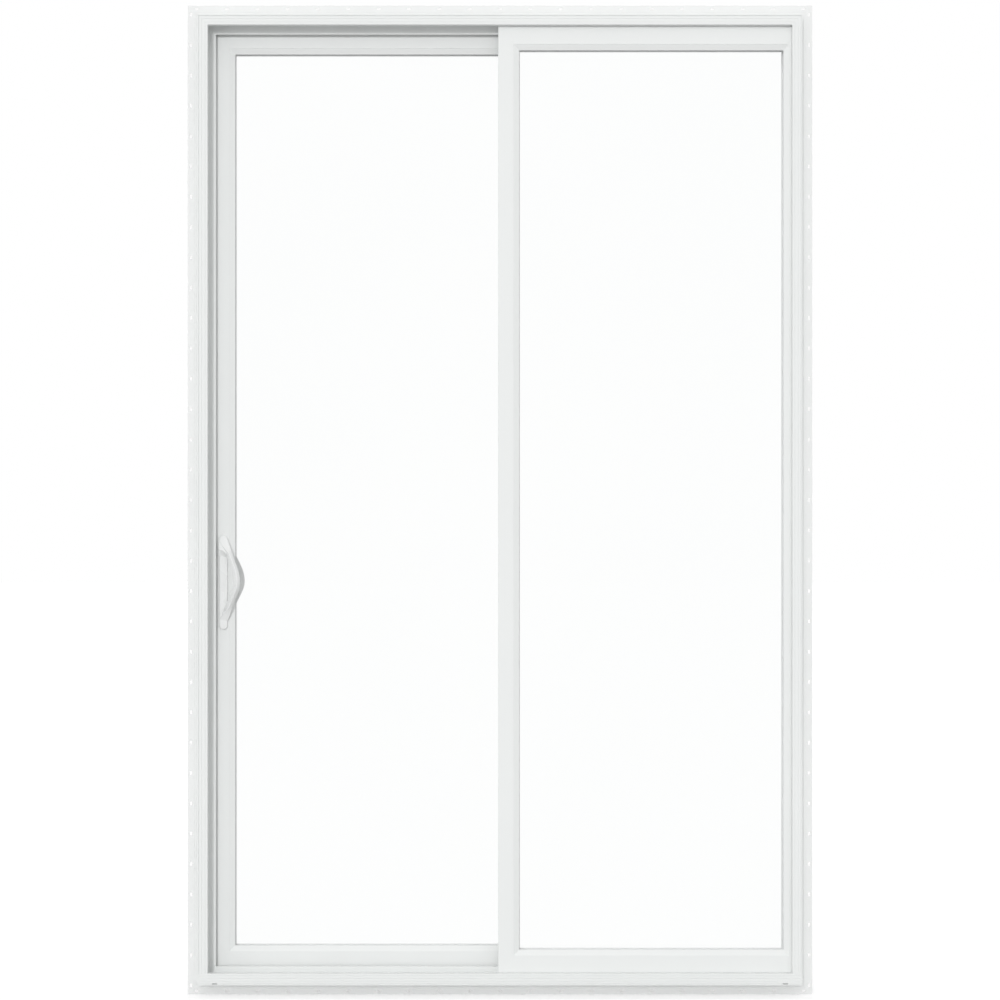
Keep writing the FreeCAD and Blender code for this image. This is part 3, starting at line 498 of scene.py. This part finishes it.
def pileStrip(mass, start, end, outwards, across, tall):
    start, end = Vector(start), Vector(end)
    along = end - start
    outwards, across = Vector(outwards), Vector(across)
    count = max(2, int(along.length / pile["pitch"]))
    half = pile["wide"] / 2
    shoulder, tip = half * pile["shoulder"], half * pile["tip"]
    rib = outwards * pile["rib"]
    rings = []
    for i in range(count + 1):
        at = start + along * i / count
        top = tall * (1 - pile["ragged"] * pileRandom.random())
        lean = (pileRandom.random() - 0.5) * pile["wide"] * pile["lean"]
        farTop = top * (1 - pile["slant"] * pileRandom.random())
        rings.append([
            at - across * half,
            at + across * half,
            at + across * half + rib,
            at + across * shoulder + rib,
            at + across * (lean + tip) + outwards * top,
            at + across * (lean - tip) + outwards * farTop,
            at - across * shoulder + rib,
            at - across * half + rib,
        ])
    mass.loft(rings)


def buildPile(name, depth, out, tall):
    left, right = lockLow.x + pile["edgeInset"], meetHigh.x - pile["edgeInset"]
    low, high = lockLow.z + pile["edgeInset"], lockHigh.z - pile["edgeInset"]
    gap = pile["endGap"]
    mass = Mass()
    pileStrip(mass, (left, depth, low), (left, depth, high), out, (1, 0, 0), tall)
    pileStrip(mass, (left + gap, depth, high), (right, depth, high), out, (0, 0, 1), tall)
    pileStrip(mass, (left + gap, depth, low), (right, depth, low), out, (0, 0, 1), tall)
    mass.piece(name, pileFibre, "sliding_panel", "stop_rubber", 60)


buildPile("panel_pile_front", panelFront, (0, -1, 0), pile["frontTall"])
buildPile("panel_pile_back", panelBack, (0, 1, 0), pile["backTall"])
print("weatherstrips built")


# domed screws with a cross: shares of the head's radius, and of its height for the rim and the cross's depth
screw = {"rings": 9, "sides": 36, "crossWide": 0.2, "crossLong": 0.62, "crossDeep": 0.55, "rim": 0.18}


def crossHead(mass, centre, outwards, radius, tall):
    centre, outwards = Vector(centre), Vector(outwards).normalized()
    sideways = outwards.orthogonal().normalized()
    upwards = outwards.cross(sideways)
    turn = random.Random(int(centre.z * 1e4) + int(centre.x * 1e4)).uniform(0, math.pi)
    rings = [[(math.cos(a), math.sin(a), 0.0) for a in angles(screw["sides"])]]
    for k in range(screw["rings"]):
        r = 1 - k / screw["rings"]
        dome = screw["rim"] + (1 - screw["rim"]) * math.sqrt(max(0, 1 - r * r))
        ring = []
        for a in angles(screw["sides"]):
            u, v = r * math.cos(a), r * math.sin(a)
            inArm = min(abs(u), abs(v)) < screw["crossWide"] and r < screw["crossLong"]
            ring.append((u, v, dome - (screw["crossDeep"] if inArm else 0)))
        rings.append(ring)
    rings.append([(0, 0, 1 - screw["crossDeep"])] * screw["sides"])
    placed = []
    for ring in rings:
        row = []
        for u, v, h in ring:
            du = u * math.cos(turn) - v * math.sin(turn)
            dv = u * math.sin(turn) + v * math.cos(turn)
            row.append(centre + sideways * (du * radius) + upwards * (dv * radius) + outwards * (h * tall))
        placed.append(row)
    mass.loft(placed, capped=False)


# each set of screws: the way its heads face, their radius and height, and the body it rides
screwSets = {
    "jamb_screws_left": {"outwards": (1, 0, 0), "radius": 0.0045, "tall": 0.0026, "body": "frame"},
    "jamb_screws_right": {"outwards": (-1, 0, 0), "radius": 0.0045, "tall": 0.0026, "body": "frame"},
    "head_screws": {"outwards": (0, 0, -1), "radius": 0.0045, "tall": 0.0026, "body": "frame"},
    "lock_plate_screws": {"outwards": (-1, 0, 0), "radius": 0.0036, "tall": 0.0007, "body": "sliding_panel"},
    "keeper_screws": {"outwards": (1, 0, 0), "radius": 0.0036, "tall": 0.0012, "body": "frame"},
    "stop_screw": {"outwards": (0, 0, -1), "radius": 0.0048, "tall": 0.0026, "body": "frame"},
    "pull_screws": {"outwards": (0, 1, 0), "radius": 0.0036, "tall": 0.0022, "body": "sliding_panel"},
}
screwPlaces = {
    "jambHeights": (0.16, 0.62, 1.18, 1.74, 2.28), "headRun": (0.18, 0.46, -0.62, -0.2),
    "plateInset": 0.014, "keeperInset": 0.011,
}


def buildScrews(name, places):
    look = screwSets[name]
    mass = Mass()
    for place in places:
        crossHead(mass, place, look["outwards"], look["radius"], look["tall"])
    return mass.piece(name, screwSteel, look["body"], "steel", 50)


plateLow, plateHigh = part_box("lock_face_plate")
keeperLow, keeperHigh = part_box("strike_keeper")
stopLow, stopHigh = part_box("travel_stop")
railLow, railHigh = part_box("fixed_top_rail")
innerBay = middleOf(plateLow.y, plateHigh.y)      # the middle of the sliding panel's channel
outerBay = middleOf(railLow.y, railHigh.y)
channelFloor = keeperLow.x      # of the left jamb; the keeper stands on it
jambHeights = screwPlaces["jambHeights"]
plateInset, keeperInset = screwPlaces["plateInset"], screwPlaces["keeperInset"]
buildScrews("jamb_screws_left", [(channelFloor, y, z) for z in jambHeights for y in (innerBay, outerBay)])
buildScrews("jamb_screws_right", [(-channelFloor, innerBay, z) for z in jambHeights])
buildScrews("head_screws", [(x, innerBay, stopHigh.z) for x in screwPlaces["headRun"]])
plateEnds = (plateLow.z + plateInset, plateHigh.z - plateInset)
buildScrews("lock_plate_screws", [(plateLow.x, innerBay, z) for z in plateEnds])
keeperEnds = (keeperLow.z + keeperInset, keeperHigh.z - keeperInset)
buildScrews("keeper_screws", [(keeperHigh.x, innerBay, z) for z in keeperEnds])
buildScrews("stop_screw", [(middleOf(stopLow.x, stopHigh.x), innerBay, stopLow.z)])
print("screws built")


# the pulls: a long plate, and a bow that leaves it as wide as the plate and turns as it swings out
pull = {
    "halfWide": 0.0105, "halfTall": 0.119, "plateThick": 0.007, "edge": 0.0024, "edgeSteps": 5,
    "crownInset": 0.00756, "crown": 0.00048,
    "angle": math.radians(42), "twist": math.radians(48),
    "root": 0.0008, "rise": 0.106, "fall": 0.094, "upperRadius": 0.070, "lowerRadius": 0.040,
    "thickMid": 0.0070, "thickEnd": 0.0072, "wideMid": 0.0056, "wideEnd": 0.0100, "flare": 0.052,
    "corner": 0.0014, "cornerSteps": 7, "stations": 96,
    "offStile": 0.0004,      # the bow's ends stop this far in front of the stile
    "screwDrops": (0.056, -0.107), "screwShift": -0.002, "screwLift": 0.0004,
}
pulls = {
    "pull_outside": {"node": "handle_outside", "side": -1, "out": 0.0493, "finish": coatWhite},
    # the room-side pull wears the darker coating, with painted shade
    "pull_inside": {"node": "handle_inside", "side": 1, "out": 0.0508, "finish": coatWithPaintedShade},
}


# half of the bow's line, from its peak to the plate, in the upright plane that the bow lies in:
# an arc round the peak, then straight to the root
def halfBow(out, radius, reach, way):
    centre = Vector((out - radius, 0))
    end = Vector((pull["root"], reach))
    toEnd = end - centre
    swing = math.atan2(toEnd.y, toEnd.x) - math.acos(radius / toEnd.length)
    touch = centre + Vector((math.cos(swing), math.sin(swing))) * radius
    arc = swing * radius
    total = arc + (end - touch).length
    half = []
    count = pull["stations"] // 2
    for i in range(count + 1):
        s = total * i / count
        if s < arc:
            a = s / radius
            at = centre + Vector((math.cos(a), math.sin(a))) * radius
            heading = Vector((-math.sin(a), math.cos(a)))
        else:
            at = touch.lerp(end, (s - arc) / (total - arc))
            heading = (end - touch).normalized()
        half.append((Vector((at.x, way * at.y)), Vector((heading.x, way * heading.y)), total - s))
    return half


def bowPath(out):
    upper = halfBow(out, pull["upperRadius"], pull["rise"], 1)
    lower = halfBow(out, pull["lowerRadius"], pull["fall"], -1)
    falling = [(at, -heading, fromEnd) for at, heading, fromEnd in reversed(upper)]
    return falling + lower[1:]


def stadium(wide, tall, count=14):
    centre = tall - wide
    top = []
    for i in range(count + 1):
        a = math.pi * i / count
        top.append((wide * math.cos(a), centre + wide * math.sin(a)))
    return top + [(-x, -z) for x, z in top]


def buildPlate(placed):
    face, edge = pull["plateThick"], pull["edge"]
    shell = [(0.0, 0.0), (0.0, face - edge)]
    for i in range(1, pull["edgeSteps"] + 1):
        a = math.pi / 2 * i / pull["edgeSteps"]
        shell.append((edge * (1 - math.cos(a)), face - edge * (1 - math.sin(a))))
    shell.append((pull["crownInset"], face + pull["crown"]))
    rings = []
    for inwards, away in shell:
        outline = stadium(pull["halfWide"] - inwards, pull["halfTall"] - inwards)
        rings.append([placed(x, away, z) for x, z in outline])
    return rings


# worked in x, distance out and z: the section's first axis is its thickness, the second its width
def buildBow(placed, out):
    outDirection = Vector((math.cos(pull["angle"]), math.sin(pull["angle"]), 0))
    sideDirection = Vector((-math.sin(pull["angle"]), math.cos(pull["angle"]), 0))
    rings = []
    for at, heading, fromEnd in bowPath(out):
        blend = min(1.0, fromEnd / pull["flare"])
        blend = blend * blend * (3 - 2 * blend)
        thick = pull["thickEnd"] + (pull["thickMid"] - pull["thickEnd"]) * blend
        wide = pull["wideEnd"] + (pull["wideMid"] - pull["wideEnd"]) * blend
        along = outDirection * heading.x + Vector((0, 0, heading.y))
        inPlane = outDirection * -heading.y + Vector((0, 0, heading.x))
        turn = Matrix.Rotation(pull["twist"] * (1 - blend), 3, along)
        if (turn @ sideDirection).y > sideDirection.y:
            turn = turn.transposed()
        thickAxis, wideAxis = turn @ inPlane, turn @ sideDirection
        centre = outDirection * at.x + Vector((0, 0, at.y))
        ring = []
        for a, b in roundedBox(thick, wide, pull["corner"], pull["cornerSteps"]):
            p = centre + thickAxis * a + wideAxis * b
            ring.append(placed(p.x, max(p.y, pull["offStile"]), p.z))
        rings.append(ring)
    return rings


# the web under the upper root, from the plate's middle: its lip as (x, z), and how far each corner of
# its section stands from the lip or from the plate's face
web = {
    "lip": (
        (-0.0101, 0.082), (-0.006, 0.0818), (-0.002, 0.0806),
        (0.002, 0.078), (0.0055, 0.0745), (0.009, 0.070),
    ),
    "top": 0.107, "rise": 0.28, "turn": 0.05, "foot": 0.066, "footDrop": 0.004,
    "lipBack": 0.0014, "lipRound": 0.0003, "lipUnder": 0.0009, "lipDrop": 0.0012,
    "hollow": 0.34, "hollowDrop": 0.001, "sink": 0.0002, "deep": 0.005,
}


def buildWeb(placed):
    face = pull["plateThick"]
    rings = []
    for i, (x, lip) in enumerate(web["lip"]):
        t = i / (len(web["lip"]) - 1)
        slope = web["rise"] + web["turn"] * t
        height = (web["top"] - lip) * slope
        foot = web["foot"] - web["footDrop"] * t
        ring = [
            (web["top"], face - web["sink"]),
            (lip + web["lipBack"], face + height - web["lipBack"] * slope),
            (lip, face + height - web["lipRound"]),
            (lip - web["lipUnder"], face + height - web["lipDrop"]),
            (middleOf(lip, foot) - web["hollowDrop"], face + height * web["hollow"]),
            (foot, face - web["sink"]),
            (foot, face - web["deep"]),
            (web["top"], face - web["deep"]),
        ]
        rings.append([placed(x, away, z) for z, away in ring])
    return rings


def middleOfPlate(node):
    low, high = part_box(node)
    return Vector((low.x + pull["halfWide"], 0, middleOf(low.z, high.z)))


def buildPull(name):
    look = pulls[name]
    side = look["side"]
    middle = middleOfPlate(look["node"]) + Vector((0, panelFront if side < 0 else panelBack, 0))

    def placed(x, away, z):
        return middle + Vector((x, side * away, z))

    mass = Mass()
    for rings in (buildPlate(placed), buildBow(placed, look["out"]), buildWeb(placed)):
        if side > 0:
            rings = [ring[::-1] for ring in rings]
        mass.loft(rings)
    piece = mass.piece(name, look["finish"], "sliding_panel", "hardware_white", 40)
    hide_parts(look["node"])


for name in pulls:
    buildPull(name)
pullMiddle = middleOfPlate("handle_inside")
pullFace = panelBack + pull["plateThick"] + pull["screwLift"]
buildScrews(
    "pull_screws",
    [(pullMiddle.x + pull["screwShift"], pullFace, pullMiddle.z + drop) for drop in pull["screwDrops"]],
)
print("pulls built")


# the thumb latch on the room side: a round boss, as (distance in, share of its height), and a lever
snib = {
    "bossTall": 0.0035, "boss": ((0, 0), (0, 0.7), (0.0005, 0.93), (0.0014, 1)), "bossSides": 40,
    "leverTall": 0.0026, "root": 0.0040, "tip": 0.0027, "bulge": 0.0006, "rounding": 0.8,
    "stations": 16, "startBelow": 0.5, "rootRound": 0.12, "tipRound": 0.14, "leastEnd": 0.02,
    "liftRoot": 0.78, "liftTip": 0.22,
}


# how wide the lever is near an end: a quarter of an ellipse over the given share of its length
def roundEnd(fromEnd, share):
    return min(1.0, math.sqrt(max(snib["leastEnd"], 1 - max(0.0, (share - fromEnd) / share) ** 2)))


def circleAt(middle, radius, out, sides):
    return [middle + Vector((math.cos(-a) * radius, out, math.sin(-a) * radius)) for a in angles(sides)]


def buildSnib():
    low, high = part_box("thumb_latch")
    radius = (high.x - low.x) / 2
    middle = Vector((middleOf(low.x, high.x), low.y, low.z + radius))
    mass = Mass()
    mass.loft([
        circleAt(middle, radius - inwards, snib["bossTall"] * share, snib["bossSides"])
        for inwards, share in snib["boss"]
    ])
    start = -radius * snib["startBelow"]
    reach = high.z - middle.z
    halfThick = snib["leverTall"] / 2
    rings = []
    for i in range(snib["stations"] + 1):
        t = i / snib["stations"]
        z = start + (reach - start) * t
        half = snib["root"] + (snib["tip"] - snib["root"]) * t + snib["bulge"] * math.sin(math.pi * t)
        half = half * roundEnd(1 - t, snib["tipRound"]) * roundEnd(t, snib["rootRound"])
        lift = (high.y - low.y) * (snib["liftRoot"] + snib["liftTip"] * t)
        section = roundedBox(half, halfThick, min(half, halfThick) * snib["rounding"], 5)
        rings.append([middle + Vector((a, lift - halfThick + b, z)) for a, b in reversed(section)])
    mass.loft(rings)
    piece = mass.piece("latch_snib", coatWhite, "sliding_panel", "hardware_white", 40)
    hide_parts("thumb_latch")


buildSnib()
print("latch built")


# caps over the roller screws, low on the room side of the bottom rail, dished in the middle
cap = {"radius": 0.0065, "tall": 0.0012, "dish": 0.0006, "up": 0.024, "inset": 0.016, "sides": 32}


def buildCaps():
    rim, floor = cap["tall"], cap["tall"] - cap["dish"]
    profile = ((1.0, 0.0), (1.0, rim * 0.6), (0.93, rim), (0.7, rim), (0.6, floor), (0.1, floor))
    wheelLow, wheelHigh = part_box("roller_wheels")
    mass = Mass()
    for x in (wheelLow.x + cap["inset"], wheelHigh.x - cap["inset"]):
        centre = Vector((x, panelBack, lockLow.z + cap["up"]))
        mass.loft([circleAt(centre, cap["radius"] * share, out, cap["sides"]) for share, out in profile])
    mass.piece("roller_screw_caps", vinylLevel, "sliding_panel", "frame_vinyl")


buildCaps()
print("caps built")


# the floor shows white to the camera and through glass, and keeps the door's shadow
stand = {
    "size": 60.0, "drop": 0.0004, "glow": 0.49,
    "colour": (0.58, 0.58, 0.58, 1), "other": (0.57, 0.57, 0.57, 1), "drift": 0.4, "driftScale": 0.5,
}


def buildFloor():
    half = stand["size"] / 2
    z = cadBox[0][2] - stand["drop"]
    mesh = bpy.data.meshes.new("studio_floor")
    corners = [(-half, -half, z), (half, -half, z), (half, half, z), (-half, half, z)]
    mesh.from_pydata(corners, [], [(0, 1, 2, 3)])
    floor = bpy.data.objects.new("studio_floor", mesh)
    scene.collection.objects.link(floor)
    material = bpy.data.materials.new("studio_floor")
    material.use_nodes = True
    tree = material.node_tree
    tree.nodes.remove(tree.nodes["Principled BSDF"])
    place = tree.nodes.new("ShaderNodeTexCoord").outputs["Object"]
    tone = useGroup(tree, toneDrift, {
        "Vector": place, "Scale": stand["driftScale"], "Colour": stand["colour"],
        "Other": stand["other"], "Amount": stand["drift"],
    })
    dull = addNode(tree, "ShaderNodeBsdfDiffuse", {"Color": tone["Colour"]})
    rays = tree.nodes.new("ShaderNodeLightPath").outputs
    seen = calculate(tree, "MAXIMUM", rays["Is Camera Ray"], rays["Is Glossy Ray"])
    glow = addNode(tree, "ShaderNodeEmission", {"Strength": calculate(tree, "MULTIPLY", seen, stand["glow"])})
    both = addNode(tree, "ShaderNodeAddShader", {0: dull.outputs[0], 1: glow.outputs[0]})
    plain = addNode(tree, "ShaderNodeEmission", {"Strength": 1.0})
    ends = {0: rays["Is Transmission Ray"], 1: both.outputs[0], 2: plain.outputs[0]}
    surface = addNode(tree, "ShaderNodeMixShader", ends)
    tree.links.new(surface.outputs[0], tree.nodes["Material Output"].inputs["Surface"])
    mesh.materials.append(material)


# the sky lights the door a little more from above and from the left, and is plain white where it is seen
sky = {"level": 0.71, "slope": (-0.05, -0.08, 0.18)}


def buildSky():
    world = bpy.data.worlds.new("studio")
    scene.world = world
    world.use_nodes = True
    tree = world.node_tree
    rays = tree.nodes.new("ShaderNodeLightPath").outputs
    seen = calculate(tree, "MAXIMUM", rays["Is Camera Ray"], rays["Is Glossy Ray"])
    seen = calculate(tree, "MAXIMUM", seen, rays["Is Transmission Ray"])
    way = tree.nodes.new("ShaderNodeTexCoord").outputs["Generated"]
    tilt = addNode(tree, "ShaderNodeVectorMath", {0: way, 1: sky["slope"]}, operation="DOT_PRODUCT")
    light = calculate(tree, "ADD", tilt.outputs["Value"], sky["level"])
    background = tree.nodes["Background"]
    background.inputs["Color"].default_value = (1, 1, 1, 1)
    tree.links.new(remap(tree, seen, 0.0, 1.0, light, 1.0), background.inputs["Strength"])


# a soft low sun from the left in front, and a weaker one behind that lights the room side
suns = {
    "front_sun": {"towards": (-0.169, -0.960, 0.225), "spread": math.radians(9), "strength": 1.15},
    "room_sun": {"towards": (0.0, 0.956, 0.292), "spread": math.radians(20), "strength": 0.8},
}


def addSun(name):
    look = suns[name]
    lamp = bpy.data.lights.new(name, "SUN")
    lamp.angle = look["spread"]
    lamp.energy = look["strength"]
    holder = bpy.data.objects.new(name, lamp)
    holder.rotation_euler = (-Vector(look["towards"])).to_track_quat("-Z", "Y").to_euler()
    holder.visible_camera = False
    holder.visible_glossy = False
    holder.visible_transmission = False
    scene.collection.objects.link(holder)


# the camera stands square in front of the door, level with its middle
view = {"distance": 6.002, "lens": 86.5, "sensor": 36.0}


def addCamera():
    camera = bpy.data.cameras.new("front_view")
    camera.lens = view["lens"]
    camera.sensor_width = view["sensor"]
    holder = bpy.data.objects.new("front_view", camera)
    holder.location = (0, cadBox[0][1] - view["distance"], middleOf(cadBox[0][2], cadBox[1][2]))
    holder.rotation_euler = (math.pi / 2, 0, 0)
    scene.collection.objects.link(holder)
    scene.camera = holder


buildFloor()
buildSky()
for name in suns:
    addSun(name)
addCamera()
scene.view_settings.view_transform = "Standard"
print("stage built")
